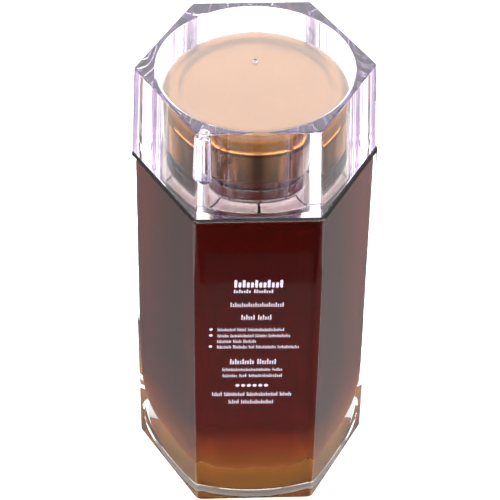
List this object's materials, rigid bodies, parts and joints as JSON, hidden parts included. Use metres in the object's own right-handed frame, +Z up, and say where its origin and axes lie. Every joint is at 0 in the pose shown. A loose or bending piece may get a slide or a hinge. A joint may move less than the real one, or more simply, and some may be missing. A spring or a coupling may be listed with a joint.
{
  "type": "honey jar",
  "caption": "Tall hexagonal glass jar full of dark honey, shut by a gold twist-off lid under a clear hexagonal cover, with a clear film label on its front face.",
  "frame": {"origin": "centre of the base, on the plane that the jar stands on", "axes": "+Z up along the jar's axis, -Y out of the labelled front face, corners of the hexagon on the X axis"},
  "size_m": [0.0766, 0.0672, 0.1611],
  "materials": {
    "flint_glass": "smooth pressed clear glass",
    "honey": "dark translucent red-brown honey",
    "gold_lacquered_tinplate": "satin gold lacquer on drawn tinplate",
    "clear_plastic": "polished clear moulded plastic",
    "label_film": "clear self-adhesive film with white print"
  },
  "bodies": {
    "root": {"glass_jar": "flint_glass", "honey": "honey", "gold_lid": "gold_lacquered_tinplate", "clear_cover": "clear_plastic", "film_label": "label_film"}
  },
  "joints": []
}
